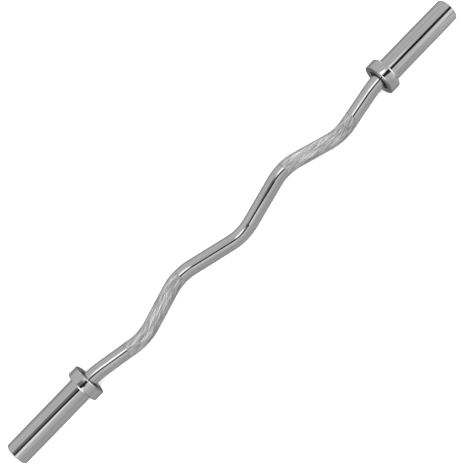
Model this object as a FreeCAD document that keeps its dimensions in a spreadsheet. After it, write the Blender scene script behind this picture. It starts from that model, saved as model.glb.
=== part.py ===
import FreeCAD, Part
import math
import os
import Sketcher

# A chrome curl bar with two free-turning plate sleeves.
# X runs along the bar, and the origin is at mid-length on the axis of the sleeves.
# The bar lies as it does on a floor: on its two collars and on the outer grip peaks.

SIZES = {
    # whole bar
    "rest_gap": 0.1,
    "run_clearance": 0.05,
    "end_play": 0.25,
    "cut_overrun": 1,
    # bent shaft, from mid-length outwards: the runs go from corner to corner along the bar,
    # and the heights are of those corners, which the bends round off
    "shaft_diameter": 31,
    "centre_rise": 30.1,
    "inner_run": 145,
    "valley_drop": 24.2,
    "grip_run": 131,
    "peak_rise": 31.6,
    "outer_run": 114,
    "tail_setback": 12,
    "bend_radius": 80,
    "tail_bend_radius": 160,
    "knurl_overrun": 15,
    "knurl_height": 0.4,
    # journals on the ends of the shaft
    "shoulder_run": 5,
    "shoulder_height": 3,
    "journal_setback": 16,
    "journal_chamfer": 1.5,
    "clip_groove_depth": 0.8,
    "clip_groove_setback": 4.4,
    # sleeve tube: its bore clears the shaft by a gap, and its wall brings it to 50 across
    "sleeve_length": 175,
    "bore_gap": 3.5,
    "sleeve_wall": 6,
    "spigot_break": 0.5,
    "cap_seat_depth": 12,
    # collar, which stands out from the sleeve by its height
    "collar_height": 11,
    "collar_width": 23,
    "collar_seat_depth": 2,
    "collar_rounding": 3.5,
    "face_rounding": 2.2,
    "collar_break": 0.6,
    # bushes
    "bush_length": 30,
    "bush_break": 0.8,
    # thrust washers
    "washer_margin": 1,
    "washer_thickness": 2.5,
    "washer_break": 0.4,
    # dust seal, which fills the collar's mouth in front of the sleeve tube
    "seal_width": 4,
    "seal_setback": 0.8,
    "seal_lip_gap": 0.75,
    "seal_groove_width": 2.4,
    "seal_groove_depth": 1.2,
    # shaft circlip
    "clip_thickness": 1.5,
    "clip_breadth": 3,
    "clip_opening": 5,
    "clip_lug": 5,
    "clip_hole": 2,
    # end cap
    "cap_thickness": 4.4,
    "cap_web": 2.4,
    "cap_rim": 7,
    "cap_dish_slope": 2,
    "cap_break": 0.6,
    # cap ring
    "ring_thickness": 1.5,
    "ring_breadth": 3.2,
    "ring_opening": 11,
    "ring_lug": 6,
    "ring_hole": 2.5,
}

# how much of the sleeve's wall each step, groove and chamfer takes
WALL_SHARES = {
    "spigot_step_share": 1 / 3,
    "relief_share": 1 / 12,
    "chamfer_share": 1 / 3,
    "cap_seat_share": 1 / 4,
    "ring_groove_share": 2 / 9,
}

doc = FreeCAD.newDocument("curl_bar")
sheet = doc.addObject("Spreadsheet::Sheet", "Dim")
for row, (alias, number) in enumerate({**SIZES, **WALL_SHARES}.items(), start=1):
    sheet.set(f"A{row}", alias)
    sheet.set(f"B{row}", str(number))
    sheet.setAlias(f"B{row}", alias)
doc.recompute()

# slopes of the shaft's three straight runs, and the length of each per unit along the bar
INNER_SLOPE = "((Dim.centre_rise + Dim.valley_drop) / Dim.inner_run)"
GRIP_SLOPE = "((Dim.peak_rise + Dim.valley_drop) / Dim.grip_run)"
OUTER_SLOPE = "(Dim.peak_rise / Dim.outer_run)"
INNER_STRETCH = f"sqrt(1 + {INNER_SLOPE} ^ 2)"
GRIP_STRETCH = f"sqrt(1 + {GRIP_SLOPE} ^ 2)"
OUTER_STRETCH = f"sqrt(1 + {OUTER_SLOPE} ^ 2)"

# stations of the shaft's corners, and how far the last two bends reach along the bar past them
VALLEY = "Dim.inner_run"
PEAK = f"({VALLEY} + Dim.grip_run)"
TAIL = f"({PEAK} + Dim.outer_run)"
PEAK_HALF_TURN = f"((atan({GRIP_SLOPE}) + atan({OUTER_SLOPE})) / 2)"
PEAK_BEND_END = f"({PEAK} + Dim.bend_radius * tan({PEAK_HALF_TURN}) / {OUTER_STRETCH})"
KNURL_END = f"({PEAK_BEND_END} + Dim.knurl_overrun)"
TAIL_BEND_END = f"({TAIL} + Dim.tail_bend_radius * ({OUTER_STRETCH} - 1) / {OUTER_SLOPE})"

# stations of the pieces on the right half of the bar
SHOULDER = f"({TAIL_BEND_END} + Dim.shoulder_run)"
FACE = f"({TAIL} + Dim.tail_setback)"
COLLAR_BACK = f"({FACE} + Dim.collar_width)"
COLLAR_SEAT = f"({COLLAR_BACK} - Dim.collar_seat_depth)"
BAR_END = f"({COLLAR_BACK} + Dim.sleeve_length)"
JOURNAL_END = f"({BAR_END} - Dim.journal_setback)"
CLIP_START = f"({JOURNAL_END} - Dim.clip_groove_setback - Dim.clip_thickness)"
OUTER_WASHER = f"({CLIP_START} - Dim.washer_thickness)"
OUTER_BUSH = f"({OUTER_WASHER} - Dim.end_play - Dim.bush_length)"
INNER_BUSH = f"({SHOULDER} + Dim.washer_thickness + Dim.end_play)"
SEAL_START = f"({FACE} + Dim.seal_setback)"
SPIGOT_START = f"({SEAL_START} + Dim.seal_width)"
CAP_SEAT = f"({BAR_END} - Dim.cap_seat_depth)"
RING_START = f"({CAP_SEAT} + Dim.cap_thickness)"

# radii that several pieces share
SHAFT_R = "(Dim.shaft_diameter / 2)"
KNURL_R = f"({SHAFT_R} + Dim.knurl_height)"
JOURNAL_R = f"({SHAFT_R} - Dim.shoulder_height)"
JOURNAL_HOLE_R = f"({JOURNAL_R} + Dim.run_clearance)"
CLIP_GROOVE_R = f"({JOURNAL_R} - Dim.clip_groove_depth)"
SEAL_LIP_R = f"({SHAFT_R} + Dim.seal_lip_gap)"
BORE_R = f"({SHAFT_R} + Dim.bore_gap)"
SLEEVE_R = f"({BORE_R} + Dim.sleeve_wall)"
SPIGOT_R = f"({SLEEVE_R} - Dim.sleeve_wall * Dim.spigot_step_share)"
RELIEF_R = f"({SLEEVE_R} - Dim.sleeve_wall * Dim.relief_share)"
SLEEVE_CHAMFER = "(Dim.sleeve_wall * Dim.chamfer_share)"
CAP_BORE_R = f"({BORE_R} + Dim.sleeve_wall * Dim.cap_seat_share)"
CAP_R = f"({CAP_BORE_R} - Dim.run_clearance)"
RING_GROOVE_R = f"({CAP_BORE_R} + Dim.sleeve_wall * Dim.ring_groove_share)"
WASHER_R = f"({BORE_R} - Dim.washer_margin)"
COLLAR_R = f"({SLEEVE_R} + Dim.collar_height)"
COLLAR_SEAT_R = f"({SLEEVE_R} + Dim.run_clearance)"

# where the rounded bends turn: the centre peak, the valley and the outer peak
CENTRE_TOP = f"(Dim.centre_rise - Dim.bend_radius * ({INNER_STRETCH} - 1))"
VALLEY_SHIFT = (
    f"(Dim.bend_radius * ({INNER_STRETCH} - {GRIP_STRETCH}) / ({INNER_SLOPE} + {GRIP_SLOPE}))"
)
VALLEY_TURN = f"({VALLEY} + {VALLEY_SHIFT})"
VALLEY_LOW = (
    f"(Dim.valley_drop + {INNER_SLOPE} * {VALLEY_SHIFT} - Dim.bend_radius * ({INNER_STRETCH} - 1))"
)
PEAK_SHIFT = (
    f"(Dim.bend_radius * ({GRIP_STRETCH} - {OUTER_STRETCH}) / ({GRIP_SLOPE} + {OUTER_SLOPE}))"
)
PEAK_TOP = (
    f"(Dim.peak_rise + {GRIP_SLOPE} * {PEAK_SHIFT} - Dim.bend_radius * ({GRIP_STRETCH} - 1))"
)

# the shaft rolls in its sleeves until its peaks come down to the floor under the collars,
# or hangs straight down where the collars hold it clear of the floor
PEAK_SINE = f"(({COLLAR_R} - {KNURL_R} - Dim.rest_gap) / {PEAK_TOP})"
CENTRE_SINE = f"(({COLLAR_R} - {SHAFT_R} - Dim.rest_gap) / {CENTRE_TOP})"
REST_ANGLE = f"(180 deg + asin(min({PEAK_SINE}; {CENTRE_SINE}; 1)))"

START, END, CENTRE = 1, 2, 3
FULL_TURN = 360
HALF_TURN = 180
ABOVE, BELOW = 1, -1
X_AXIS = FreeCAD.Vector(1, 0, 0)
Z_AXIS = FreeCAD.Vector(0, 0, 1)


def value(expression):
    """The number that an expression gives now. None stands for a place on an axis."""
    if expression is None:
        return 0.0
    result = sheet.evalExpression(expression)
    return float(getattr(result, "Value", result))


def new_body(label, left=False):
    body = doc.addObject("PartDesign::Body", label)
    body.Label = label
    turn = FreeCAD.Rotation(Z_AXIS, HALF_TURN if left else 0)
    body.Placement = FreeCAD.Placement(FreeCAD.Vector(), turn)
    return body


def origin_plane(body, role):
    return next(item for item in body.Origin.OriginFeatures if item.Role == role)


def new_sketch(body, name, role, station=None):
    sketch = body.newObject("Sketcher::SketchObject", name)
    sketch.AttachmentSupport = [(origin_plane(body, role), "")]
    sketch.MapMode = "FlatFace"
    if station:
        sketch.setExpression("AttachmentOffset.Base.z", station)
    return sketch


def origin():
    """Sketcher's numbers for a sketch's origin: point 1 of element -1."""
    return -1, 1


def bind(sketch, constraint, expression):
    index = sketch.addConstraint(constraint)
    sketch.setExpression(f"Constraints[{index}]", expression)


def hold_along(sketch, item, point, along):
    if along is None:
        sketch.addConstraint(Sketcher.Constraint("Vertical", *origin(), item, point))
        return
    bind(sketch, Sketcher.Constraint("DistanceX", *origin(), item, point, value(along)), along)


def hold_across(sketch, item, point, across, side=ABOVE):
    if across is None:
        sketch.addConstraint(Sketcher.Constraint("Horizontal", *origin(), item, point))
        return
    ends = (*origin(), item, point) if side == ABOVE else (item, point, *origin())
    bind(sketch, Sketcher.Constraint("DistanceY", *ends, value(across)), across)


def hold(sketch, item, point, along, across, side=ABOVE):
    """Hold a point at two distances from the sketch's origin."""
    hold_along(sketch, item, point, along)
    hold_across(sketch, item, point, across, side)


def outline_sketch(body, name, outline):
    """A closed outline of corners, each a station along the bar and a radius."""
    sketch = new_sketch(body, name, "XY_Plane")
    corners = [FreeCAD.Vector(value(along), value(radius), 0) for along, radius in outline]
    count = len(corners)
    sides = [
        sketch.addGeometry(Part.LineSegment(corners[i], corners[(i + 1) % count]))
        for i in range(count)
    ]
    for i, side in enumerate(sides):
        following = sides[(i + 1) % count]
        sketch.addConstraint(Sketcher.Constraint("Coincident", side, END, following, START))
        hold(sketch, side, START, *outline[i])
    return sketch


def turned(body, name, outline):
    """A piece turned about the bar's axis."""
    sketch = outline_sketch(body, f"{name}_outline", outline)
    solid = body.newObject("PartDesign::Revolution", name)
    solid.Profile = sketch
    solid.ReferenceAxis = (sketch, ["H_Axis"])
    solid.Angle = FULL_TURN
    return solid


def removed(body, feature, before):
    """Make sure that a cut takes material away."""
    doc.recompute()
    if body.Shape.Volume >= before:
        raise RuntimeError(f"{feature.Name} cuts nothing")
    return feature


def grooved(body, name, outline):
    """A groove turned about the bar's axis."""
    doc.recompute()
    before = body.Shape.Volume
    sketch = outline_sketch(body, f"{name}_outline", outline)
    cut = body.newObject("PartDesign::Groove", name)
    cut.Profile = sketch
    cut.ReferenceAxis = (sketch, ["H_Axis"])
    cut.Angle = FULL_TURN
    return removed(body, cut, before)


def ring_outline(start, length, inner, outer, inner_break=None, outer_break=None):
    """The section of a plain ring, its bore and rim edges broken where a size is given."""
    stop = f"({start} + {length})"
    if inner_break:
        corners = [(start, f"({inner} + {inner_break})"), (f"({start} + {inner_break})", inner)]
        corners += [(f"({stop} - {inner_break})", inner), (stop, f"({inner} + {inner_break})")]
    else:
        corners = [(start, inner), (stop, inner)]
    if outer_break:
        corners += [(stop, f"({outer} - {outer_break})"), (f"({stop} - {outer_break})", outer)]
        corners += [(f"({start} + {outer_break})", outer), (start, f"({outer} - {outer_break})")]
    else:
        corners += [(stop, outer), (start, outer)]
    return corners


def rounded(body, name, base, station, radius, size):
    """Round the circular edge at one station and radius."""
    doc.recompute()
    slack = value("Dim.run_clearance")

    def wanted(curve):
        if not isinstance(curve, Part.Circle) or abs(curve.Radius - value(radius)) > slack:
            return False
        return abs(curve.Center.x - value(station)) < slack

    edges = [
        f"Edge{number}"
        for number, edge in enumerate(base.Shape.Edges, start=1)
        if wanted(edge.Curve)
    ]
    fillet = body.newObject("PartDesign::Fillet", name)
    fillet.Base = (base, edges)
    fillet.setExpression("Radius", size)
    return fillet


def bent_path(body, name, corners, radii, turn, end):
    """Straight runs joined by tangent arcs, from the middle of the first bend to an end.

    Each corner is a station, a height and a side of the axis. turn is the station where the
    path starts, in the middle of its first bend. end is the station and height where it stops,
    or the station alone where its last run points at one more corner.
    """
    sketch = new_sketch(body, name, "XY_Plane")
    spots = [FreeCAD.Vector(value(along), side * value(across), 0) for along, across, side in corners]
    if len(spots) == len(radii):
        spots.append(FreeCAD.Vector(value(end[0]), value(end[1]), 0))
    posts = [sketch.addGeometry(Part.Point(spot), True) for spot in spots[: len(corners)]]
    for post, corner in zip(posts, corners):
        hold(sketch, post, START, *corner)

    bends = []
    for i, radius in enumerate(radii):
        spot = spots[i]
        size = value(radius)
        ahead = (spots[i + 1] - spot).normalize()
        behind = (spots[i - 1] - spot).normalize() if i else FreeCAD.Vector(-ahead.x, ahead.y, 0)
        inward = (ahead + behind).normalize()
        half_angle = inward.getAngle(ahead)
        middle = spot + inward * (size / math.sin(half_angle))
        leave = spot + ahead * (size / math.tan(half_angle))
        enter = spot + behind * (size / math.tan(half_angle)) if i else middle - inward * size
        left_turn = ahead.cross(behind).z > 0
        gates = (START, END) if left_turn else (END, START)
        points = (enter, leave) if left_turn else (leave, enter)
        angles = [math.atan2(point.y - middle.y, point.x - middle.x) for point in points]
        bend = sketch.addGeometry(Part.ArcOfCircle(Part.Circle(middle, Z_AXIS, size), *angles))
        bind(sketch, Sketcher.Constraint("Radius", bend, size), radius)
        bends.append((bend, gates, enter, leave))

    first, first_gates = bends[0][:2]
    hold_along(sketch, first, first_gates[0], turn)
    hold_along(sketch, first, CENTRE, turn)
    for i, (bend, gates, enter, leave) in enumerate(bends):
        stop = bends[i + 1][2] if i + 1 < len(bends) else spots[i + 1]
        run = sketch.addGeometry(Part.LineSegment(leave, stop))
        sketch.addConstraint(Sketcher.Constraint("Tangent", bend, gates[1], run, START))
        for post in posts[i : i + 2]:
            sketch.addConstraint(Sketcher.Constraint("PointOnObject", post, START, run))
        if i + 1 < len(bends):
            following, next_gates = bends[i + 1][:2]
            sketch.addConstraint(Sketcher.Constraint("Tangent", run, END, following, next_gates[0]))
        elif len(end) == 1:
            hold_along(sketch, run, END, end[0])
        else:
            hold(sketch, run, END, *end)
    return sketch


def swept_bar(body, name, path, station, height, side, radius):
    """A round bar swept along a path that starts at one station and height."""
    section = new_sketch(body, f"{name}_section", "YZ_Plane", station)
    middle = FreeCAD.Vector(side * value(height), 0, 0)
    circle = section.addGeometry(Part.Circle(middle, Z_AXIS, value(radius)))
    bind(section, Sketcher.Constraint("Radius", circle, value(radius)), radius)
    ends = (*origin(), circle, CENTRE) if side == ABOVE else (circle, CENTRE, *origin())
    bind(section, Sketcher.Constraint("DistanceX", *ends, value(height)), height)
    section.addConstraint(Sketcher.Constraint("Horizontal", *origin(), circle, CENTRE))
    bar = body.newObject("PartDesign::AdditivePipe", name)
    bar.Profile = section
    bar.Spine = path
    return bar


def build_shaft():
    body = new_body("curl_shaft")
    centre = (None, "Dim.centre_rise", ABOVE)
    valley = (VALLEY, "Dim.valley_drop", BELOW)
    peak = (PEAK, "Dim.peak_rise", ABOVE)
    tail = (TAIL, None, ABOVE)
    grip_bend, tail_bend = "Dim.bend_radius", "Dim.tail_bend_radius"

    route = bent_path(
        body,
        "bar_route",
        [centre, valley, peak, tail],
        [grip_bend, grip_bend, grip_bend, tail_bend],
        None,
        (SHOULDER, None),
    )
    bar = swept_bar(body, "bar", route, None, CENTRE_TOP, ABOVE, SHAFT_R)

    # the knurled grips run from the bottom of the valley to past the outer peak
    band_route = bent_path(
        body,
        "knurl_route",
        [valley, peak, tail],
        [grip_bend, grip_bend],
        VALLEY_TURN,
        (KNURL_END,),
    )
    band = swept_bar(body, "knurl_band", band_route, VALLEY_TURN, VALLEY_LOW, BELOW, KNURL_R)

    journal = turned(
        body,
        "journal",
        [
            (SHOULDER, None),
            (JOURNAL_END, None),
            (JOURNAL_END, f"({JOURNAL_R} - Dim.journal_chamfer)"),
            (f"({JOURNAL_END} - Dim.journal_chamfer)", JOURNAL_R),
            (SHOULDER, JOURNAL_R),
        ],
    )
    groove_outer = f"({JOURNAL_R} + Dim.cut_overrun)"
    groove_width = "(Dim.clip_thickness + Dim.run_clearance)"
    clip_groove = grooved(
        body, "clip_groove", ring_outline(CLIP_START, groove_width, CLIP_GROOVE_R, groove_outer)
    )
    whole = body.newObject("PartDesign::Mirrored", "both_halves")
    whole.Originals = [bar, band, journal, clip_groove]
    whole.MirrorPlane = (origin_plane(body, "YZ_Plane"), [""])
    body.Tip = whole
    body.Placement = FreeCAD.Placement(
        FreeCAD.Vector(), FreeCAD.Rotation(X_AXIS, value(REST_ANGLE))
    )
    body.setExpression("Placement.Rotation.Angle", REST_ANGLE)
    doc.recompute()
    print("half route", round(route.Shape.Length, 2), "mm, half bar", round(bar.Shape.Volume), "mm3,",
          "section times length", round(math.pi * value(SHAFT_R) ** 2 * route.Shape.Length), "mm3")
    return body


def build_sleeve(label, left):
    """The tube that the plates slide on, relieved at the collar so that they lie flat on it."""
    body = new_body(label, left)
    turned(
        body,
        "tube",
        [
            (SPIGOT_START, f"({BORE_R} + Dim.spigot_break)"),
            (f"({SPIGOT_START} + Dim.spigot_break)", BORE_R),
            (CAP_SEAT, BORE_R),
            (CAP_SEAT, CAP_BORE_R),
            (BAR_END, CAP_BORE_R),
            (BAR_END, f"({SLEEVE_R} - {SLEEVE_CHAMFER})"),
            (f"({BAR_END} - {SLEEVE_CHAMFER})", SLEEVE_R),
            (COLLAR_BACK, SLEEVE_R),
            (COLLAR_BACK, RELIEF_R),
            (COLLAR_SEAT, RELIEF_R),
            (COLLAR_SEAT, SPIGOT_R),
            (f"({SPIGOT_START} + Dim.spigot_break)", SPIGOT_R),
            (SPIGOT_START, f"({SPIGOT_R} - Dim.spigot_break)"),
        ],
    )
    groove_inner = f"({CAP_BORE_R} - Dim.cut_overrun)"
    groove_width = "(Dim.ring_thickness + Dim.run_clearance)"
    grooved(body, "ring_groove", ring_outline(RING_START, groove_width, groove_inner, RING_GROOVE_R))
    return body


def build_collar(label, left):
    """The plate stop, pressed on the spigot and counterbored to take the tube's shoulder."""
    body = new_body(label, left)
    ring = turned(
        body,
        "ring",
        [
            (FACE, f"({SPIGOT_R} + Dim.collar_break)"),
            (f"({FACE} + Dim.collar_break)", SPIGOT_R),
            (COLLAR_SEAT, SPIGOT_R),
            (COLLAR_SEAT, COLLAR_SEAT_R),
            (COLLAR_BACK, COLLAR_SEAT_R),
            (COLLAR_BACK, COLLAR_R),
            (FACE, COLLAR_R),
        ],
    )
    plate_side = rounded(body, "plate_side_rounding", ring, COLLAR_BACK, COLLAR_R, "Dim.collar_rounding")
    rounded(body, "face_rounding", plate_side, FACE, COLLAR_R, "Dim.face_rounding")
    return body


def build_bush(label, left, start):
    body = new_body(label, left)
    breaks = ("Dim.bush_break", "Dim.bush_break")
    turned(body, "bush", ring_outline(start, "Dim.bush_length", JOURNAL_HOLE_R, BORE_R, *breaks))
    return body


def build_washer(label, left, start):
    body = new_body(label, left)
    breaks = (None, "Dim.washer_break")
    outline = ring_outline(start, "Dim.washer_thickness", JOURNAL_HOLE_R, WASHER_R, *breaks)
    turned(body, "washer", outline)
    return body


def build_seal(label, left):
    body = new_body(label, left)
    middle = f"(({SEAL_LIP_R} + {SPIGOT_R}) / 2)"
    groove_top = f"({middle} + Dim.seal_groove_width / 2)"
    groove_bottom = f"({middle} - Dim.seal_groove_width / 2)"
    groove_end = f"({SEAL_START} + Dim.seal_groove_depth)"
    outline = ring_outline(SEAL_START, "Dim.seal_width", SEAL_LIP_R, SPIGOT_R)
    channel = [
        (SEAL_START, groove_top),
        (groove_end, groove_top),
        (groove_end, groove_bottom),
        (SEAL_START, groove_bottom),
    ]
    turned(body, "seal", outline + channel)
    return body


def build_snap_ring(label, left, start, thickness, inner, outer, opening, lug, hole, lug_radius):
    """An open spring ring with two lugs, each with a hole for the pliers."""
    body = new_body(label, left)
    half_opening = f"({opening} / 2)"
    sketch = new_sketch(body, "open_ring", "YZ_Plane", start)
    arcs = []
    for radius in (inner, outer):
        size = value(radius)
        from_angle = math.asin(value(half_opening) / size)
        circle = Part.Circle(FreeCAD.Vector(), Z_AXIS, size)
        arc = sketch.addGeometry(Part.ArcOfCircle(circle, from_angle, -from_angle))
        sketch.addConstraint(Sketcher.Constraint("Coincident", arc, CENTRE, *origin()))
        bind(sketch, Sketcher.Constraint("Radius", arc, size), radius)
        arcs.append(arc)
    for gate, side in ((START, ABOVE), (END, BELOW)):
        ends = [sketch.getPoint(arc, gate) for arc in arcs]
        line = sketch.addGeometry(Part.LineSegment(*ends))
        sketch.addConstraint(Sketcher.Constraint("Coincident", arcs[0], gate, line, START))
        sketch.addConstraint(Sketcher.Constraint("Coincident", arcs[1], gate, line, END))
        sketch.addConstraint(Sketcher.Constraint("Horizontal", line))
        hold_across(sketch, line, START, half_opening, side)
    ring = body.newObject("PartDesign::Pad", "open_ring_pad")
    ring.Profile = sketch
    ring.setExpression("Length", thickness)

    lug_across = f"(({opening} + {lug}) / 2)"
    lug_along = f"sqrt({lug_radius} ^ 2 - {lug_across} ^ 2)"

    def lug_circles(name, diameter):
        circles = new_sketch(body, name, "YZ_Plane", start)
        for side in (ABOVE, BELOW):
            middle = FreeCAD.Vector(value(lug_along), side * value(lug_across), 0)
            radius = value(diameter) / 2
            circle = circles.addGeometry(Part.Circle(middle, Z_AXIS, radius))
            bind(circles, Sketcher.Constraint("Diameter", circle, 2 * radius), diameter)
            hold(circles, circle, CENTRE, lug_along, lug_across, side)
        return circles

    lugs = body.newObject("PartDesign::Pad", "lugs")
    lugs.Profile = lug_circles("lug_outline", lug)
    lugs.setExpression("Length", thickness)
    doc.recompute()
    before = body.Shape.Volume
    holes = body.newObject("PartDesign::Pocket", "lug_holes")
    holes.Profile = lug_circles("lug_hole_outline", hole)
    holes.setExpression("Length", thickness)
    holes.Reversed = True
    removed(body, holes, before)
    return body


def build_cap(label, left):
    """A dished plug that closes the sleeve's end."""
    body = new_body(label, left)
    face = f"({CAP_SEAT} + Dim.cap_thickness)"
    web = f"({CAP_SEAT} + Dim.cap_web)"
    dish = f"({CAP_R} - Dim.cap_rim)"
    turned(
        body,
        "cap",
        [
            (CAP_SEAT, None),
            (web, None),
            (web, dish),
            (face, f"({dish} + Dim.cap_dish_slope)"),
            (face, f"({CAP_R} - Dim.cap_break)"),
            (f"({face} - Dim.cap_break)", CAP_R),
            (CAP_SEAT, CAP_R),
        ],
    )
    return body


def build_end(prefix, left):
    """Everything on one end of the shaft."""
    clip_inner = f"({CLIP_GROOVE_R} + Dim.run_clearance)"
    clip_outer = f"({clip_inner} + Dim.clip_breadth)"
    ring_outer = f"({RING_GROOVE_R} - Dim.run_clearance)"
    ring_inner = f"({ring_outer} - Dim.ring_breadth)"
    return [
        build_sleeve(f"{prefix}_sleeve_tube", left),
        build_collar(f"{prefix}_collar", left),
        build_bush(f"{prefix}_inner_bush", left, INNER_BUSH),
        build_bush(f"{prefix}_outer_bush", left, OUTER_BUSH),
        build_washer(f"{prefix}_inner_thrust_washer", left, SHOULDER),
        build_washer(f"{prefix}_outer_thrust_washer", left, OUTER_WASHER),
        build_seal(f"{prefix}_dust_seal", left),
        build_snap_ring(
            f"{prefix}_shaft_circlip",
            left,
            CLIP_START,
            "Dim.clip_thickness",
            clip_inner,
            clip_outer,
            "Dim.clip_opening",
            "Dim.clip_lug",
            "Dim.clip_hole",
            clip_outer,
        ),
        build_cap(f"{prefix}_end_cap", left),
        build_snap_ring(
            f"{prefix}_cap_ring",
            left,
            RING_START,
            "Dim.ring_thickness",
            ring_inner,
            ring_outer,
            "Dim.ring_opening",
            "Dim.ring_lug",
            "Dim.ring_hole",
            ring_inner,
        ),
    ]


pieces = [build_shaft()]
pieces += build_end("left", True)
pieces += build_end("right", False)
doc.recompute()

failed = [item.Name for item in doc.Objects if {"Invalid", "Error"} & set(item.State)]
if failed:
    raise RuntimeError(f"these did not rebuild: {failed}")
for piece in pieces:
    if piece.Shape.isNull() or not piece.Shape.isValid() or len(piece.Shape.Solids) != 1:
        raise RuntimeError(f"{piece.Label} is not one sound solid")

os.makedirs("parts", exist_ok=True)
for piece in pieces:
    piece.Shape.exportStep(f"parts/{piece.Label}.step")
    print(piece.Label, round(piece.Shape.Volume), "mm3")
print("rest angle", round(value(REST_ANGLE) - HALF_TURN, 2), "degrees")
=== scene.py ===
import math

import bmesh
import bpy
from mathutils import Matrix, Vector


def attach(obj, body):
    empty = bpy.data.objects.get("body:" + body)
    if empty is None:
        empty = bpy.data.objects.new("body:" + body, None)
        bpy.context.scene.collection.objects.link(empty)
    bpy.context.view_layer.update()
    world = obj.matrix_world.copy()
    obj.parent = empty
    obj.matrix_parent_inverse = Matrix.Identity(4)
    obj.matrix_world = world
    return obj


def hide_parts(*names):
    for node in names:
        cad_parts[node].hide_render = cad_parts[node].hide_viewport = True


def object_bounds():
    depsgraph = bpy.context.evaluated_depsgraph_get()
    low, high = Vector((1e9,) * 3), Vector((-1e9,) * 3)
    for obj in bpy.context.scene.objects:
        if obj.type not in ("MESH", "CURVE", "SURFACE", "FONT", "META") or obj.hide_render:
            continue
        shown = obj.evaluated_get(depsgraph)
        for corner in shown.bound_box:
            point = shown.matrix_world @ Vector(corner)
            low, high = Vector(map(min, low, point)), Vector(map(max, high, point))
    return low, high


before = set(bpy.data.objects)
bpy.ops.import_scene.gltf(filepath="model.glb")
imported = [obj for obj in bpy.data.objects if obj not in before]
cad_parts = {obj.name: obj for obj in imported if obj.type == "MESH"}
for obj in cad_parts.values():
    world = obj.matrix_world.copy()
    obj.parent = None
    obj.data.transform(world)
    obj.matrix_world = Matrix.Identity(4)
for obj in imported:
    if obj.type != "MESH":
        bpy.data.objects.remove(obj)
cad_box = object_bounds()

# A chrome curl bar, dressed on its CAD frame. X runs along the bar, Z is up, and the bar lies on
# its collars and outer grip peaks. Sizes are in metres, and a station is a place along X.

MM = 0.001

# Bent shaft: the same corners, heights and radii as in the part's source
SHAFT_RADIUS = 15.5 * MM
CENTRE_RISE = 30.1 * MM
INNER_RUN = 145 * MM
VALLEY_DROP = 24.2 * MM
GRIP_RUN = 131 * MM
PEAK_RISE = 31.6 * MM
OUTER_RUN = 114 * MM
BEND_RADIUS = 80 * MM
TAIL_BEND_RADIUS = 160 * MM
REST_ANGLE = math.radians(47.72)
SHOULDER = 416.77 * MM
JOURNAL_RADIUS = 12.5 * MM
JOURNAL_END = 584 * MM
JOURNAL_CHAMFER = 1.5 * MM
CLIP_START = 578.1 * MM
CLIP_GROOVE_RADIUS = 11.7 * MM
CLIP_GROOVE_WIDTH = 1.55 * MM
# How far apart the rings of the bar lie in its bends
BEND_RING_STEP = 1.8 * MM

# Knurled grips: the run past the peak's bend, heights above the shaft, and a cell's length
KNURL_OVERRUN = 15 * MM
KNURL_HEIGHT = 0.4 * MM
KNURL_FLOOR = 0.2 * MM
KNURL_LENGTH = 1.55 * MM
KNURLS_AROUND = 104
# How far each knurl point is cut back towards its base
KNURL_BLUNTING = 0.5
# Turn of the knurl's painted highlight streaks about the bar, in radians per metre
KNURL_WIND = 13

# Sleeves and collars, right side
COLLAR_FACE = 402 * MM
COLLAR_BACK = 425 * MM
COLLAR_SEAT = 423 * MM
COLLAR_RADIUS = 36 * MM
COLLAR_ROUNDING = 3.5 * MM
FACE_ROUNDING = 2.2 * MM
COLLAR_BREAK = 0.6 * MM
SPIGOT_START = 406.8 * MM
SPIGOT_RADIUS = 23 * MM
SPIGOT_BREAK = 0.5 * MM
BAR_END = 600 * MM
SLEEVE_RADIUS = 25 * MM
RELIEF_RADIUS = 24.5 * MM
COLLAR_SEAT_RADIUS = 25.05 * MM
SLEEVE_CHAMFER = 2 * MM
BORE_RADIUS = 19 * MM
CAP_SEAT = 588 * MM
CAP_BORE_RADIUS = 20.5 * MM
MOUTH_BREAK = 0.3 * MM

# End cap and the spring ring that holds it
CAP_FACE = 592.4 * MM
CAP_WEB = 590.4 * MM
CAP_RADIUS = 20.45 * MM
CAP_DISH_RADIUS = 13.45 * MM
CAP_DISH_SLOPE = 2 * MM
CAP_HUB_RADIUS = 3 * MM
CAP_BREAK = 0.6 * MM
RING_THICKNESS = 1.5 * MM
RING_GROOVE_WIDTH = 1.55 * MM
RING_GROOVE_RADIUS = 21.83 * MM
RING_RADIUS = 21.78 * MM
RING_BREADTH = 3.2 * MM
RING_OPENING = 11 * MM
RING_LUG = 6 * MM
RING_HOLE = 2.5 * MM
RING_BREAK = 0.1 * MM
RING_BREAK_ANGLE = math.radians(50)
# A count that keeps the ring's corners clear of the places where the lugs join it
RING_SIDES = 132
LUG_SIDES = 40

# Dust seal in the collar's mouth
SEAL_FACE = 402.8 * MM
SEAL_BACK = 406.8 * MM
SEAL_LIP_RADIUS = 16.25 * MM
SEAL_GROOVE_INNER = 18.425 * MM
SEAL_GROOVE_OUTER = 20.825 * MM
SEAL_GROOVE_DEPTH = 1.2 * MM
SEAL_ROUNDING = 0.35 * MM

# Meshes
SIDES = 128
GUIDE_STEPS = 48
SMOOTH_ANGLE = math.radians(35)
PICK_DISTANCE = 0.02 * MM
MERGE_DISTANCE = 0.002 * MM


# Modelling by hand


def clear_selection():
    if bpy.context.object and bpy.context.object.mode != "OBJECT":
        bpy.ops.object.mode_set(mode="OBJECT")
    bpy.ops.object.select_all(action="DESELECT")


def take(piece):
    clear_selection()
    piece.select_set(True)
    bpy.context.view_layer.objects.active = piece


def edit_all(piece):
    """Open a piece in edit mode with all of it selected."""
    take(piece)
    bpy.ops.object.mode_set(mode="EDIT")
    bpy.ops.mesh.select_all(action="SELECT")


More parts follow.
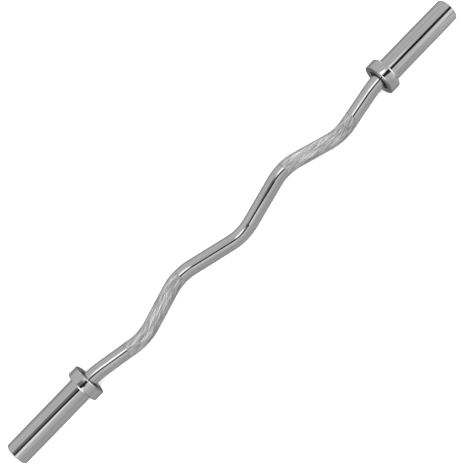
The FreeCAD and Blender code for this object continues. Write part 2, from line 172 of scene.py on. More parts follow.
def modify(piece, kind, **settings):
    """Add a modifier with these settings to a piece, and apply it."""
    take(piece)
    bpy.ops.object.modifier_add(type=kind)
    modifier = piece.modifiers[-1]
    for name, setting in settings.items():
        setattr(modifier, name, setting)
    bpy.ops.object.modifier_apply(modifier=modifier.name)


def start_ring(name, station, radius, sides=SIDES):
    """A ring of points round the X axis, all selected in edit mode."""
    clear_selection()
    bpy.ops.mesh.primitive_circle_add(
        vertices=sides, radius=radius, location=(station, 0, 0), rotation=(0, math.pi / 2, 0)
    )
    piece = bpy.context.object
    piece.name = name
    piece.data.name = name
    bpy.ops.object.transform_apply(location=True, rotation=True, scale=True)
    bpy.ops.object.mode_set(mode="EDIT")
    bpy.ops.mesh.select_mode(type="EDGE")
    bpy.ops.mesh.select_all(action="SELECT")
    return piece


def draw_out(profile):
    """Pull the selected ring through the stations and radii of a turned profile."""
    for (station, radius), (next_station, next_radius) in zip(profile, profile[1:]):
        step = {"value": (next_station - station, 0, 0)}
        bpy.ops.mesh.extrude_region_move(TRANSFORM_OT_translate=step)
        if next_radius != radius:
            share = next_radius / radius
            bpy.ops.transform.resize(value=(1, share, share), center_override=(next_station, 0, 0))


def pick_rings(piece, rings):
    """Select the ring edges that lie at any of the given stations and radii."""

    def on_ring(point):
        radius = math.hypot(point.y, point.z)
        return any(
            abs(point.x - ring_station) < PICK_DISTANCE and abs(radius - ring_radius) < PICK_DISTANCE
            for ring_station, ring_radius in rings
        )

    bpy.ops.mesh.select_mode(type="EDGE")
    bpy.ops.mesh.select_all(action="DESELECT")
    mesh = bmesh.from_edit_mesh(piece.data)
    for edge in mesh.edges:
        first, second = edge.verts
        level = abs(first.co.x - second.co.x) < PICK_DISTANCE
        edge.select_set(level and on_ring(first.co) and on_ring(second.co))
    bmesh.update_edit_mesh(piece.data)


def close_ends(piece, profile):
    """Fill the last and the first ring of a drawn-out profile."""
    for ring in (profile[-1], profile[0]):
        pick_rings(piece, [ring])
        bpy.ops.mesh.edge_face_add()


def round_rings(piece, rings, size, segments):
    pick_rings(piece, rings)
    bpy.ops.mesh.bevel(
        offset=size,
        offset_type="OFFSET",
        segments=segments,
        profile=0.5,
        affect="EDGES",
        clamp_overlap=False,
    )


def close_up(piece):
    """Merge doubles, turn the faces outwards and shade the piece."""
    bpy.ops.mesh.select_all(action="SELECT")
    bpy.ops.mesh.remove_doubles(threshold=MERGE_DISTANCE)
    bpy.ops.mesh.normals_make_consistent(inside=False)
    bpy.ops.object.mode_set(mode="OBJECT")
    bpy.ops.object.shade_smooth_by_angle(angle=SMOOTH_ANGLE)
    return piece


def turned(name, profile, roundings=(), sides=SIDES):
    """A ring turned from a closed section.

    A rounding gives the corners that it rounds, its size and its number of faces.
    """
    piece = start_ring(name, *profile[0], sides)
    draw_out(list(profile) + [profile[0]])
    bpy.ops.mesh.select_all(action="SELECT")
    bpy.ops.mesh.remove_doubles(threshold=MERGE_DISTANCE)
    for rings, size, segments in roundings:
        round_rings(piece, rings, size, segments)
    return close_up(piece)


def copy_of(piece, name):
    copied = piece.copy()
    copied.data = piece.data.copy()
    copied.name = name
    copied.data.name = name
    bpy.context.collection.objects.link(copied)
    return copied


def other_end(piece, name):
    """A copy for the left end of the bar, turned half round about Z."""
    twin = copy_of(piece, name)
    edit_all(twin)
    bpy.ops.transform.rotate(value=math.pi, orient_axis="Z", center_override=(0, 0, 0))
    bpy.ops.object.mode_set(mode="OBJECT")
    return twin


# The bend guide: straight runs and arcs, from the left journal's end to the right one's

PEAKWARD = Vector((0, -math.cos(REST_ANGLE), -math.sin(REST_ANGLE)))
VALLEY = INNER_RUN
PEAK = VALLEY + GRIP_RUN
TAIL = PEAK + OUTER_RUN
# Places of the right valley and the right peak in the list of bends, which starts at the left end
VALLEY_BEND = 4
PEAK_BEND = 5


def in_space(flat):
    """A point of the bar's own plane, given by its station and its height towards the peaks."""
    return Vector((flat.x, 0, 0)) + PEAKWARD * flat.y


def bend_guide():
    """The guide curve, where its bends start and stop along the straight bar, and its length."""
    right_corners = [
        (VALLEY, -VALLEY_DROP, BEND_RADIUS),
        (PEAK, PEAK_RISE, BEND_RADIUS),
        (TAIL, 0, TAIL_BEND_RADIUS),
    ]
    left_corners = [(-station, height, radius) for station, height, radius in reversed(right_corners)]
    corners = left_corners + [(0, CENTRE_RISE, BEND_RADIUS)] + right_corners
    radii = [radius for station, height, radius in corners]
    spots = [Vector((station, height)) for station, height, radius in corners]
    spots = [Vector((-JOURNAL_END, 0)), *spots, Vector((JOURNAL_END, 0))]

    knots = [(spots[0], spots[0], spots[0])]
    bends = []
    travelled = 0
    for before, spot, after, radius in zip(spots, spots[1:], spots[2:], radii):
        arriving = (spot - before).normalized()
        leaving = (after - spot).normalized()
        turn = arriving.angle(leaving)
        reach = radius * math.tan(turn / 2)
        # With handles of this length the curve follows the arc
        handle = 4 / 3 * radius * math.tan(turn / 4)
        enter = spot - arriving * reach
        leave = spot + leaving * reach
        travelled += (enter - knots[-1][0]).length
        bends.append((travelled, travelled + radius * turn))
        travelled += radius * turn
        knots.append((enter, enter - arriving * handle, enter + arriving * handle))
        knots.append((leave, leave - leaving * handle, leave + leaving * handle))
    travelled += (spots[-1] - knots[-1][0]).length
    knots.append((spots[-1], spots[-1], spots[-1]))

    route = bpy.data.curves.new("bend_guide", "CURVE")
    route.dimensions = "3D"
    route.resolution_u = GUIDE_STEPS
    spline = route.splines.new("BEZIER")
    spline.bezier_points.add(len(knots) - 1)
    for knot, (place, behind, ahead) in zip(spline.bezier_points, knots):
        knot.handle_left_type = knot.handle_right_type = "FREE"
        knot.co = in_space(place)
        knot.handle_left = in_space(behind)
        knot.handle_right = in_space(ahead)
    guide = bpy.data.objects.new("bend_guide", route)
    bpy.context.collection.objects.link(guide)
    return guide, bends, travelled


def keep_straight_places(piece):
    """Note where each point lies before bending, for patterns that follow the bar."""
    spots = [0.0] * (3 * len(piece.data.vertices))
    piece.data.vertices.foreach_get("co", spots)
    note = piece.data.attributes.new("straight", "FLOAT_VECTOR", "POINT")
    note.data.foreach_set("vector", spots)


def bend(piece):
    modify(piece, "CURVE", object=guide, deform_axis="POS_X")


guide, bends, whole_length = bend_guide()


def make_bar():
    """The bar, turned straight with its journals, with rings to spare where it bends."""
    journal = JOURNAL_END - SHOULDER
    groove = JOURNAL_END - CLIP_START - CLIP_GROOVE_WIDTH
    left_end = [
        (0, JOURNAL_RADIUS - JOURNAL_CHAMFER),
        (JOURNAL_CHAMFER, JOURNAL_RADIUS),
        (groove, JOURNAL_RADIUS),
        (groove, CLIP_GROOVE_RADIUS),
        (groove + CLIP_GROOVE_WIDTH, CLIP_GROOVE_RADIUS),
        (groove + CLIP_GROOVE_WIDTH, JOURNAL_RADIUS),
        (journal, JOURNAL_RADIUS),
        (journal, SHAFT_RADIUS),
    ]
    rings = []
    for start, stop in bends:
        count = math.ceil((stop - start) / BEND_RING_STEP)
        rings += [(start + (stop - start) * i / count, SHAFT_RADIUS) for i in range(count + 1)]
    right_end = [(whole_length - station, radius) for station, radius in reversed(left_end)]
    profile = left_end + rings + right_end
    piece = start_ring("bent_bar", *profile[0])
    draw_out(profile)
    close_ends(piece, profile)
    close_up(piece)
    keep_straight_places(piece)
    bend(piece)
    return piece


def make_knurls():
    """The knurls of both grips: bands of low four-sided points, cut straight and bent with the bar."""
    # From the lowest point of the valley to a little past the peak's bend
    inner_angle = math.atan((CENTRE_RISE + VALLEY_DROP) / INNER_RUN)
    start = bends[VALLEY_BEND][0] + BEND_RADIUS * inner_angle
    stop = bends[PEAK_BEND][1] + KNURL_OVERRUN * math.hypot(1, PEAK_RISE / OUTER_RUN)
    cells = 2 * round((stop - start) / KNURL_LENGTH / 2)
    floor_radius = SHAFT_RADIUS + KNURL_FLOOR

    # The band is drawn in two lengths, because one subdivision makes 100 cuts at most
    profile = [(station, floor_radius) for station in (start, (start + stop) / 2, stop)]
    piece = start_ring("right_grip_knurl", *profile[0], KNURLS_AROUND)
    draw_out(profile)
    mesh = bmesh.from_edit_mesh(piece.data)
    for edge in mesh.edges:
        edge.select_set(abs(edge.verts[0].co.x - edge.verts[1].co.x) > KNURL_LENGTH)
    bmesh.update_edit_mesh(piece.data)
    bpy.ops.mesh.subdivide(number_cuts=cells // 2 - 1)

    # Every second corner of the grid is raised to a point, apart from the band's ends
    bpy.ops.mesh.select_mode(type="VERT")
    bpy.ops.mesh.select_all(action="DESELECT")
    mesh = bmesh.from_edit_mesh(piece.data)
    cell = (stop - start) / cells
    for point in mesh.verts:
        along = round((point.co.x - start) / cell)
        around = round(math.atan2(point.co.z, point.co.y) / (2 * math.pi / KNURLS_AROUND))
        point.select_set((along + around) % 2 == 1 and 0 < along < cells)
    bmesh.update_edit_mesh(piece.data)
    bpy.ops.transform.shrink_fatten(value=(KNURL_HEIGHT - KNURL_FLOOR) / (1 - KNURL_BLUNTING))

    # The low corners are joined, so that each cell folds along its groove, and the points are blunted
    bpy.ops.mesh.select_all(action="INVERT")
    bpy.ops.mesh.vert_connect()
    bpy.ops.mesh.select_all(action="INVERT")
    bpy.ops.mesh.bevel(offset_type="PERCENT", offset_pct=100 * KNURL_BLUNTING, affect="VERTICES")
    close_ends(piece, profile)
    bpy.ops.mesh.select_all(action="SELECT")
    bpy.ops.mesh.normals_make_consistent(inside=False)
    bpy.ops.object.mode_set(mode="OBJECT")
    bpy.ops.object.shade_flat()
    keep_straight_places(piece)

    twin = copy_of(piece, "left_grip_knurl")
    edit_all(twin)
    bpy.ops.transform.translate(value=(whole_length - stop - start, 0, 0))
    bpy.ops.object.mode_set(mode="OBJECT")
    bend(piece)
    bend(twin)
    return piece, twin


bar = make_bar()
knurls = make_knurls()
bpy.data.objects.remove(guide)

right_sleeve = turned(
    "right_sleeve_shell",
    [
        (SPIGOT_START, BORE_RADIUS),
        (CAP_SEAT, BORE_RADIUS),
        (CAP_SEAT, CAP_BORE_RADIUS),
        (CAP_FACE, CAP_BORE_RADIUS),
        (CAP_FACE, RING_GROOVE_RADIUS),
        (CAP_FACE + RING_GROOVE_WIDTH, RING_GROOVE_RADIUS),
        (CAP_FACE + RING_GROOVE_WIDTH, CAP_BORE_RADIUS),
        (BAR_END, CAP_BORE_RADIUS),
        (BAR_END, SLEEVE_RADIUS),
        (COLLAR_BACK, SLEEVE_RADIUS),
        (COLLAR_BACK, RELIEF_RADIUS),
        (COLLAR_SEAT, RELIEF_RADIUS),
        (COLLAR_SEAT, SPIGOT_RADIUS),
        (SPIGOT_START, SPIGOT_RADIUS),
    ],
    [
        ([(BAR_END, SLEEVE_RADIUS)], SLEEVE_CHAMFER, 1),
        ([(BAR_END, CAP_BORE_RADIUS)], MOUTH_BREAK, 2),
        ([(SPIGOT_START, SPIGOT_RADIUS), (SPIGOT_START, BORE_RADIUS)], SPIGOT_BREAK, 3),
    ],
)
left_sleeve = other_end(right_sleeve, "left_sleeve_shell")

right_collar = turned(
    "right_collar_ring",
    [
        (COLLAR_FACE, SPIGOT_RADIUS),
        (COLLAR_SEAT, SPIGOT_RADIUS),
        (COLLAR_SEAT, COLLAR_SEAT_RADIUS),
        (COLLAR_BACK, COLLAR_SEAT_RADIUS),
        (COLLAR_BACK, COLLAR_RADIUS),
        (COLLAR_FACE, COLLAR_RADIUS),
    ],
    [
        ([(COLLAR_BACK, COLLAR_RADIUS)], COLLAR_ROUNDING, 8),
        ([(COLLAR_FACE, COLLAR_RADIUS)], FACE_ROUNDING, 5),
        ([(COLLAR_FACE, SPIGOT_RADIUS)], COLLAR_BREAK, 2),
    ],
)
left_collar = other_end(right_collar, "left_collar_ring")

seal_lips = [(SEAL_FACE, radius) for radius in (SEAL_LIP_RADIUS, SEAL_GROOVE_INNER, SEAL_GROOVE_OUTER)]
right_seal = turned(
    "right_seal_ring",
    [
        (SEAL_BACK, SEAL_LIP_RADIUS),
        (SEAL_FACE, SEAL_LIP_RADIUS),
        (SEAL_FACE, SEAL_GROOVE_INNER),
        (SEAL_FACE + SEAL_GROOVE_DEPTH, SEAL_GROOVE_INNER),
        (SEAL_FACE + SEAL_GROOVE_DEPTH, SEAL_GROOVE_OUTER),
        (SEAL_FACE, SEAL_GROOVE_OUTER),
        (SEAL_FACE, SPIGOT_RADIUS),
        (SEAL_BACK, SPIGOT_RADIUS),
    ],
    [(seal_lips, SEAL_ROUNDING, 3)],
)
left_seal = other_end(right_seal, "left_seal_ring")


def make_cap():
    """The dished plug in the sleeve's end, turned from its flat back to the floor of its dish."""
    rim = (CAP_FACE, CAP_DISH_RADIUS + CAP_DISH_SLOPE)
    floor = (CAP_WEB, CAP_DISH_RADIUS)
    profile = [(CAP_SEAT, CAP_RADIUS), (CAP_FACE, CAP_RADIUS), rim, floor, (CAP_WEB, CAP_HUB_RADIUS)]
    piece = start_ring("right_cap_plug", *profile[0])
    draw_out(profile)
    close_ends(piece, profile)
    round_rings(piece, [(CAP_FACE, CAP_RADIUS)], CAP_BREAK, 3)
    round_rings(piece, [rim, floor], CAP_BREAK, 3)
    return close_up(piece)


def cut_or_join(piece, tool, operation):
    """Join a helper shape to a piece or cut it away, and remove the helper."""
    modify(piece, "BOOLEAN", operation=operation, solver="MANIFOLD", object=tool)
    bpy.data.objects.remove(tool)


def lug_rod(across, upright, radius):
    """A rod through the ring's blank, turned so that a side and not a corner faces the ring's opening."""
    clear_selection()
    bpy.ops.mesh.primitive_cylinder_add(
        vertices=LUG_SIDES,
        radius=radius,
        depth=4 * RING_THICKNESS,
        location=(CAP_FACE + RING_THICKNESS / 2, across, upright),
        rotation=(math.pi / 2, math.pi / LUG_SIDES, math.pi / 2),
    )
    return bpy.context.object


def make_cap_ring():
    """The open spring ring in front of the cap, with a plier hole in each lug.

    It is cut as a longer blank and then trimmed, so that no face of a tool meets it flush.
    """
    inner = RING_RADIUS - RING_BREADTH
    back = CAP_FACE + RING_THICKNESS
    blank_face = CAP_FACE - RING_THICKNESS
    blank_back = back + RING_THICKNESS
    section = [
        (blank_face, inner),
        (blank_back, inner),
        (blank_back, RING_RADIUS),
        (blank_face, RING_RADIUS),
    ]
    piece = turned("right_cap_spring_ring", section, sides=RING_SIDES)
    clear_selection()
    bpy.ops.mesh.primitive_cube_add(size=RING_OPENING, location=(CAP_FACE, RING_RADIUS, 0))
    cut_or_join(piece, bpy.context.object, "DIFFERENCE")
    upright = (RING_OPENING + RING_LUG) / 2
    across = math.sqrt(inner**2 - upright**2)
    for side in (1, -1):
        cut_or_join(piece, lug_rod(across, side * upright, RING_LUG / 2), "UNION")
    for station, before in ((CAP_FACE, True), (back, False)):
        edit_all(piece)
        bpy.ops.mesh.bisect(
            plane_co=(station, 0, 0),
            plane_no=(1, 0, 0),
            use_fill=True,
            clear_inner=before,
            clear_outer=not before,
        )
    modify(piece, "BEVEL", width=RING_BREAK, segments=2, angle_limit=RING_BREAK_ANGLE)
    for side in (1, -1):
        cut_or_join(piece, lug_rod(across, side * upright, RING_HOLE / 2), "DIFFERENCE")
    edit_all(piece)
    return close_up(piece)


right_cap = make_cap()
left_cap = other_end(right_cap, "left_cap_plug")
right_ring = make_cap_ring()
left_ring = other_end(right_ring, "left_cap_spring_ring")


# Shader sums

# Sockets of a Mix node that mixes colours
FIRST_COLOUR = 6
SECOND_COLOUR = 7
MIXED_COLOUR = 2


class Field:
    """One output socket of a node tree, which takes part in sums as a number does."""

    def __init__(self, tree, socket):
        self.tree = tree
        self.socket = socket

    def node(self, kind, settings=None, inputs=None, output=0):
        made = self.tree.nodes.new(kind)
        for name, setting in (settings or {}).items():
            setattr(made, name, setting)
        for name, item in (inputs or {}).items():
            if isinstance(item, Field):
                self.tree.links.new(item.socket, made.inputs[name])
            else:
                made.inputs[name].default_value = item
        return Field(self.tree, None if output is None else made.outputs[output])

    def math(self, operation, *items):
        return self.node("ShaderNodeMath", {"operation": operation}, dict(enumerate(items)))

    def __add__(self, other):
        return self.math("ADD", self, other)

    def __radd__(self, other):
        return self.math("ADD", other, self)

    def __sub__(self, other):
        return self.math("SUBTRACT", self, other)

    def __rsub__(self, other):
        return self.math("SUBTRACT", other, self)

    def __mul__(self, other):
        return self.math("MULTIPLY", self, other)

    def __rmul__(self, other):
        return self.math("MULTIPLY", other, self)

    def __truediv__(self, other):
        return self.math("DIVIDE", self, other)

    def __abs__(self):
        return self.math("ABSOLUTE", self)

    def larger(self, other):
        return self.math("MAXIMUM", self, other)

    def ramp(self, low, high):
        """0 below low and 1 above high, with soft ends."""
        settings = {"interpolation_type": "SMOOTHSTEP"}
        sockets = {"Value": self, "From Min": low, "From Max": high}
        return self.node("ShaderNodeMapRange", settings, sockets)

    def window(self, rise, fall):
        """1 between a rising and a falling ramp, and 0 outside them."""
        return self.ramp(*rise) * (1 - self.ramp(*fall))

    def parts(self):
        """The X, Y and Z of a vector."""
        split = self.node("ShaderNodeSeparateXYZ", None, {"Vector": self}).socket.node
        return [Field(self.tree, output) for output in split.outputs]


def new_material(name, metallic=0):
    material = bpy.data.materials.new(name)
    material.use_nodes = True
    tree = material.node_tree
    shader = tree.nodes["Principled BSDF"]
    shader.inputs["Metallic"].default_value = metallic
    return material, shader, Field(tree, None)


def link(shader, name, field):
    field.tree.links.new(field.socket, shader.inputs[name])


def colour_mix(start, share, first, second):
    inputs = {"Factor": share, FIRST_COLOUR: first, SECOND_COLOUR: second}
    return start.node("ShaderNodeMix", {"data_type": "RGBA"}, inputs, output=MIXED_COLOUR)


def grey_mix(start, share, low, high):
    """A grey between two others, with a trace of blue."""
    blue = 1.005
    return colour_mix(start, share, (low, low, low * blue, 1), (high, high, high * blue, 1))


def own_places(start):
    return start.node("ShaderNodeTexCoord", output="Object")


def straight_places(start):
    """Where each point lay before the bar was bent."""
    return start.node("ShaderNodeAttribute", {"attribute_name": "straight"}, output="Vector")


def noise(start, place, size, detail=3, roughness=0.5, finer_across=1):
    """Noise with about this many grains in a metre, drawn out along X where it is finer across."""
    scale = (1, finer_across, finer_across)
    spread = start.node("ShaderNodeMapping", None, {"Vector": place, "Scale": scale})
    inputs = {"Vector": spread, "Scale": size, "Detail": detail, "Roughness": roughness}
    return start.node("ShaderNodeTexNoise", None, inputs)


def radius_of(place):
    """How far a point lies from the X axis."""
    across, upright = place.parts()[1:]
    squares = across * across + upright * upright
    return squares.math("SQRT", squares)


def add_bump(start, shader, height, strength, distance):
    inputs = {"Strength": strength, "Distance": distance, "Height": height}
    link(shader, "Normal", start.node("ShaderNodeBump", None, inputs))


def polished_chrome(name, places):
    """Chrome plate with lengthwise polishing lines, fine and broad, and a few dull smears."""
    material, shader, start = new_material(name, metallic=1)
    place = places(start)
    lines = noise(start, place, 30, detail=4, finer_across=60)
    bands = noise(start, place, 5, roughness=0.6, finer_across=90)
    smears = noise(start, place, 14, roughness=0.6, finer_across=2.5).ramp(0.45, 0.75)
    shade = lines * 0.3 + bands.ramp(0.3, 0.7) * 0.5 + smears * 0.2
    link(shader, "Base Color", grey_mix(start, shade, low=0.46, high=0.63))
    link(shader, "Roughness", 0.04 + lines.ramp(0.35, 0.7) * 0.04 + smears * 0.05)
    add_bump(start, shader, lines, strength=0.04, distance=0.2 * MM)
    return material


def twisted(start, place, rate):
    """Places turned about the bar's axis as they go along it, so that the knurl's painted highlight
    streaks wind round the bar.
    """
    along = place.parts()[0]
    settings = {"rotation_type": "X_AXIS"}
    return start.node("ShaderNodeVectorRotate", settings, {"Vector": place, "Angle": along * rate})


def knurled_chrome(name):
    """Plated knurl: points lighter than the grooves, whose darkness is painted shade, with winding
    streaks of painted highlight that stand for the glints of its facets.
    """
    material, shader, start = new_material(name, metallic=1)
    place = straight_places(start)
    # The points get a lighter grey than the grooves: this is painted shade darkening the grooves
    tip = (radius_of(place) - SHAFT_RADIUS).ramp(KNURL_FLOOR, KNURL_HEIGHT)
    # Winding streaks of painted highlight, standing for rows of knurl facets that catch the light
    winding_painted_glints, crossing_painted_glints = (
        noise(start, twisted(start, place, rate), 52, detail=0, finer_across=13)
        for rate in (KNURL_WIND, -KNURL_WIND)
    )
    painted_highlight_streaks = (winding_painted_glints * 0.75 + crossing_painted_glints * 0.25).ramp(0.38, 0.62)
    # The knurl's grey: painted shade in the grooves plus painted highlight streaks
    shade = tip * 0.46 + painted_highlight_streaks * 0.44 + 0.05
    link(shader, "Base Color", grey_mix(start, shade, low=0.17, high=0.86))
    link(shader, "Roughness", 0.36 - tip * 0.10 - painted_highlight_streaks * 0.04)
    return material


def sintered_bronze(name):
    """Oil-filled bronze with dark pores."""
    material, shader, start = new_material(name, metallic=1)
    place = own_places(start)
    pores = noise(start, place, 900, detail=2).ramp(0.38, 0.46)
    patches = noise(start, place, 90).ramp(0.3, 0.7)
    dark_bronze = (0.42, 0.23, 0.09, 1)
    light_bronze = (0.56, 0.33, 0.14, 1)
    oily_pore = (0.08, 0.045, 0.02, 1)
    bronze = colour_mix(start, patches, dark_bronze, light_bronze)
    link(shader, "Base Color", colour_mix(start, pores, oily_pore, bronze))
    link(shader, "Roughness", 0.5 - pores * 0.18)
    add_bump(start, shader, pores, strength=0.3, distance=0.05 * MM)
    return material


def lathe_steel(name, low, high, roughness, ring_step):
    """Turned or ground steel with fine rings about the X axis."""
    material, shader, start = new_material(name, metallic=1)
    place = own_places(start)
    wander = noise(start, place, 60)
    phase = radius_of(place) * (2 * math.pi / ring_step) + wander * 2
    rings = phase.math("SINE", phase) * 0.5 + 0.5
    link(shader, "Base Color", grey_mix(start, rings * 0.5 + wander * 0.5, low, high))
    link(shader, "Roughness", roughness + wander.ramp(0.4, 0.7) * 0.12)
    add_bump(start, shader, rings, strength=0.15, distance=0.02 * MM)
    return material


def phosphated_steel(name):
    """Spring steel with a dark grey phosphate coat."""
    material, shader, start = new_material(name, metallic=0.8)
    place = own_places(start)
    crystals = noise(start, place, 1600, detail=2)
    clouds = noise(start, place, 150).ramp(0.3, 0.7)
    link(shader, "Base Color", grey_mix(start, crystals * 0.4 + clouds * 0.6, low=0.07, high=0.16))
    link(shader, "Roughness", 0.42 + crystals * 0.2)
    add_bump(start, shader, crystals, strength=0.2, distance=0.02 * MM)
    return material


def seal_rubber(name):
    """Black nitrile rubber with a dusty bloom."""
    material, shader, start = new_material(name)
    place = own_places(start)
    bloom = noise(start, place, 220).ramp(0.4, 0.75)
    grain = noise(start, place, 1800, detail=2)
    link(shader, "Base Color", grey_mix(start, bloom, low=0.012, high=0.035))
    link(shader, "Roughness", 0.55 + bloom * 0.2)
    add_bump(start, shader, grain, strength=0.25, distance=0.03 * MM)
    return material


def dress(piece, material):
    piece.data.materials.clear()
    piece.data.materials.append(material)


chrome = polished_chrome("polished_chrome", own_places)
bar_chrome = polished_chrome("polished_bar_chrome", straight_places)
knurl_chrome = knurled_chrome("knurled_chrome")
cap_finish = lathe_steel("turned_cap_steel", low=0.42, high=0.56, roughness=0.22, ring_step=0.9 * MM)
washer_finish = lathe_steel("ground_washer_steel", low=0.36, high=0.5, roughness=0.3, ring_step=0.3 * MM)
bush_finish = sintered_bronze("sintered_bronze")
spring_finish = phosphated_steel("phosphated_spring_steel")
rubber = seal_rubber("seal_rubber")

for piece in (right_sleeve, left_sleeve, right_collar, left_collar):
    dress(piece, chrome)
for pair, finish, slot in (
    ((left_seal, right_seal), rubber, "seal_rubber"),
    ((left_cap, right_cap), cap_finish, "cap_steel"),
    ((left_ring, right_ring), spring_finish, "spring_steel"),
):
    for piece in pair:
        dress(piece, finish)
dress(bar, bar_chrome)
for piece in knurls:
    dress(piece, knurl_chrome)
for piece in (bar, *knurls):
    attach(piece, "shaft")
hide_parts("curl_shaft")
outer_pieces = {
    "left": (left_sleeve, left_collar, left_seal, left_cap, left_ring),
    "right": (right_sleeve, right_collar, right_seal, right_cap, right_ring),
}
# The inner pieces keep their CAD meshes
inner_finishes = {
    "inner_bush": bush_finish,
    "outer_bush": bush_finish,
    "inner_thrust_washer": washer_finish,
    "outer_thrust_washer": washer_finish,
    "shaft_circlip": spring_finish,
}
for side, dressed in outer_pieces.items():
    for piece, node in zip(dressed, ("sleeve_tube", "collar", "dust_seal", "end_cap", "cap_ring")):
        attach(piece, f"{side}_sleeve")
        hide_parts(f"{side}_{node}")
    for node, finish in inner_finishes.items():
        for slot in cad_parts[f"{side}_{node}"].material_slots:
            slot.material = finish


# Floor, light and camera

STUDIO_SIZE = 9
FLOOR_GAP = 0.2 * MM
FLOOR_LAMP_PLACE = (-0.4, 0.5, 2.6)
FLOOR_LAMP_SIZE = 4
FLOOR_LAMP_POWER = 190

CAMERA_PLACE = (-0.1255, 0.0133, 1.8803)
CAMERA_DEGREES = (2.213, -2.696, -45.985)
CAMERA_LENS = 75.65
CAMERA_SENSOR = 36

# Soft lamps in the ceiling: along, across, half length, half width, lean and share of full light
CEILING_HEIGHT = 2.0
CEILING_LIGHT = 2.2
CEILING_LAMPS = [
    (0.36, 0.90, 0.74, 0.46, -0.34, 0.85),
    (-1.04, -0.31, 0.30, 0.27, 0.0, 0.40),
    (1.68, -1.70, 0.46, 1.80, 0.0, 0.12),
    (-2.10, 0.45, 0.72, 1.00, 0.0, 0.95),
    (2.00, -0.40, 0.45, 0.60, 0.0, 0.50),
]
# Dark cards beside the grips, given in the same way
CEILING_CARDS = [
    (2.30, -1.90, 0.60, 1.50, 0.0, 0.50),
    (-1.90, -1.70, 0.55, 1.00, 0.0, 0.45),
]
# Squares of the reach from a patch's middle at which it starts and stops fading
PATCH_FADE = (0.55, 1.4)

# The dark gap between the lamps, which draws the long dark line on the chrome: its place across the
# bar at mid-length, its slant, where its left part turns off and by how much, and its half widths
GAP_PLACE = 0.05
GAP_SLANT = 0.2
GAP_TURN = -0.8
GAP_TURN_SLANT = 0.6
GAP_FADE = (0.21, 0.35)
GAP_DARKNESS = 0.98
# Shift and widening of the gap as the right sleeve and the left collar see it
RIGHT_SHIFT = 0.03
RIGHT_WIDENING = 0.12
LEFT_SHIFT = 0.1
LEFT_WIDENING = 0.1
# Darkness and slant of the grey card that the left sleeve sees beside the gap
SIDE_CARD_DARKNESS = 0.65
SIDE_CARD_SLANT = 0.8

# Light from the studio's walls and ground, and what parts of them and the lamps in the walls add to it
FAR_WALL = 0.58
FAR_WALL_MIDDLE = 0.26
FAR_WALL_RIGHT = 0.16
FAR_WALL_CORNER = -0.48
NEAR_WALL = 0.75
GROUND = 0.18
GROUND_EDGE = 0.25
WALL_LAMP = 1.9
# How much higher the ground reaches on the near side
NEAR_GROUND_RISE = 0.1


def make_floor():
    clear_selection()
    bpy.ops.mesh.primitive_plane_add(size=STUDIO_SIZE, location=(0, 0, cad_box[0][2] - FLOOR_GAP))
    floor = bpy.context.object
    floor.name = "floor"
    material, shader, start = new_material("pale_floor")
    grain = noise(start, own_places(start), 40)
    link(shader, "Base Color", grey_mix(start, grain, low=0.86, high=0.88))
    shader.inputs["Roughness"].default_value = 0.9
    shader.inputs["Specular IOR Level"].default_value = 0
    dress(floor, material)
    floor.visible_glossy = False


def ceiling_patches(along, across, patches):
    """Soft ovals on the ceiling, each with its own share in the middle and nothing past its edge."""
    total = 0
    for middle, aside, half_length, half_width, lean, share in patches:
        lengthwise = (along - middle) / half_length
        sideways = (across - aside - (along - middle) * lean) / half_width
        reach = lengthwise * lengthwise + sideways * sideways
        total = (1 - reach.ramp(*PATCH_FADE)) * share + total
    return total


def ceiling_darkness(along, across):
    """The gap between the lamps, the card beside it and the cards beside the grips.

    Ramps and windows give places on the ceiling.
    """
    right_sleeve_part = along.ramp(0.7, 1.2)
    left_collar_part = along.window((-0.86, -0.7), (-0.66, -0.54))
    past_turn = (GAP_TURN - along).larger(0)
    gap_line = GAP_PLACE - along * GAP_SLANT + past_turn * GAP_TURN_SLANT
    gap_line = gap_line + right_sleeve_part * RIGHT_SHIFT - left_collar_part * LEFT_SHIFT
    from_line = across - gap_line
    spread = abs(from_line) - right_sleeve_part * RIGHT_WIDENING - left_collar_part * LEFT_WIDENING
    gap = 1 - spread.ramp(*GAP_FADE)
    card_edge = across + (along - GAP_TURN) * SIDE_CARD_SLANT
    side_card = from_line.ramp(0, 0.1) * (1 - card_edge.ramp(1.15, 1.4))
    side_card = side_card * along.window((-1.36, -1.18), (-0.62, -0.5))
    darkness = (gap * GAP_DARKNESS).larger(side_card * SIDE_CARD_DARKNESS)
    darkness = darkness * along.window((-1.45, -1.25), (1.45, 1.7))
    return darkness.larger(ceiling_patches(along, across, CEILING_CARDS))


def make_ceiling():
    """Lamps and dark cards above the bar, which only its polish sees."""
    clear_selection()
    bpy.ops.mesh.primitive_plane_add(size=STUDIO_SIZE, location=(0, 0, CEILING_HEIGHT))
    ceiling = bpy.context.object
    ceiling.name = "studio_ceiling"
    material = bpy.data.materials.new("ceiling_lamps")
    material.use_nodes = True
    material.node_tree.nodes.clear()
    start = Field(material.node_tree, None)
    along, across = own_places(start).parts()[:2]
    lamps = ceiling_patches(along, across, CEILING_LAMPS)
    darkness = ceiling_darkness(along, across)
    clear = start.node("ShaderNodeBsdfTransparent")
    black = start.node("ShaderNodeEmission", None, {"Strength": 0.0})
    glow = start.node("ShaderNodeEmission", None, {"Strength": CEILING_LIGHT})
    dark = start.node("ShaderNodeMixShader", None, {0: darkness, 1: clear, 2: black})
    lit = start.node("ShaderNodeMixShader", None, {0: lamps * (1 - darkness), 1: dark, 2: glow})
    start.node("ShaderNodeOutputMaterial", None, {"Surface": lit}, output=None)
    dress(ceiling, material)
    ceiling.visible_camera = False
    ceiling.visible_diffuse = False
    ceiling.visible_shadow = False


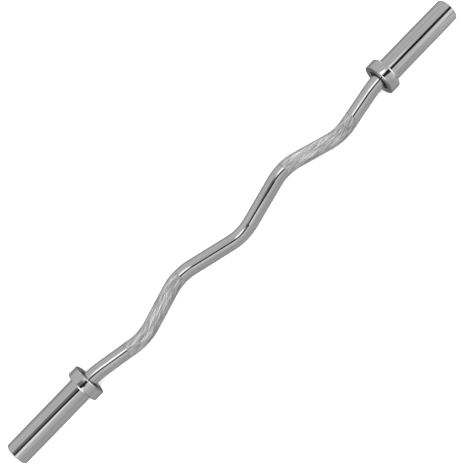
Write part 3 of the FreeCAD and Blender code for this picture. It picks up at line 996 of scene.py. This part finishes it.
def make_surroundings():
    """Grey studio walls with lamps in them past the ends of the bar. The far wall is the one at -Y.

    Ramps and windows give parts of a direction of length one.
    """
    world = bpy.data.worlds.new("studio")
    bpy.context.scene.world = world
    world.use_nodes = True
    tree = world.node_tree
    start = Field(tree, None)
    along, across, up = start.node("ShaderNodeTexCoord", output="Generated").parts()

    far_wall = FAR_WALL + across.ramp(-0.95, -0.25) * FAR_WALL_MIDDLE
    far_wall = far_wall + along.ramp(0.3, 0.37) * FAR_WALL_RIGHT
    far_corners = abs(along).ramp(0.46, 0.58) * (1 - across.ramp(-0.6, -0.3))
    walls = far_wall + across.ramp(-0.1, 0.1) * (NEAR_WALL - far_wall) + far_corners * FAR_WALL_CORNER
    ground = GROUND + up.ramp(-1, -0.8) * GROUND_EDGE
    height = up - across.ramp(0.1, 0.4) * NEAR_GROUND_RISE
    level = ground + height.ramp(-0.75, -0.25) * (walls - ground)

    left_lamp = (1 - along.ramp(-0.75, -0.62)) * (1 - abs(across + 0.05).ramp(0.2, 0.35))
    left_lamp = left_lamp * up.ramp(0, 0.1)
    right_lamp = along.ramp(0.74, 0.86) * (1 - across.ramp(0, 0.2)) * up.ramp(-0.1, 0.05)
    low_lamp = along.window((0.56, 0.62), (0.74, 0.8)) * across.ramp(0.6, 0.66)
    low_lamp = low_lamp * up.window((-0.25, -0.15), (0.05, 0.15))
    radiance = level + (left_lamp + right_lamp + low_lamp) * WALL_LAMP

    # The backdrop itself is white
    seen = start.node("ShaderNodeLightPath", output="Is Camera Ray")
    background = tree.nodes["Background"]
    link(background, "Color", radiance + seen * (1 - radiance))
    background.inputs["Strength"].default_value = 1


def make_lamp():
    clear_selection()
    bpy.ops.object.light_add(type="AREA", location=FLOOR_LAMP_PLACE)
    lamp = bpy.context.object
    lamp.name = "floor_lamp"
    lamp.data.shape = "RECTANGLE"
    lamp.data.size = FLOOR_LAMP_SIZE
    lamp.data.size_y = FLOOR_LAMP_SIZE
    lamp.data.energy = FLOOR_LAMP_POWER
    lamp.visible_glossy = False


def make_camera():
    clear_selection()
    bpy.ops.object.camera_add(location=CAMERA_PLACE)
    camera = bpy.context.object
    camera.rotation_euler = [math.radians(angle) for angle in CAMERA_DEGREES]
    camera.data.lens = CAMERA_LENS
    camera.data.sensor_width = CAMERA_SENSOR
    bpy.context.scene.camera = camera


make_floor()
make_ceiling()
make_surroundings()
make_lamp()
make_camera()
bpy.context.scene.view_settings.view_transform = "Standard"
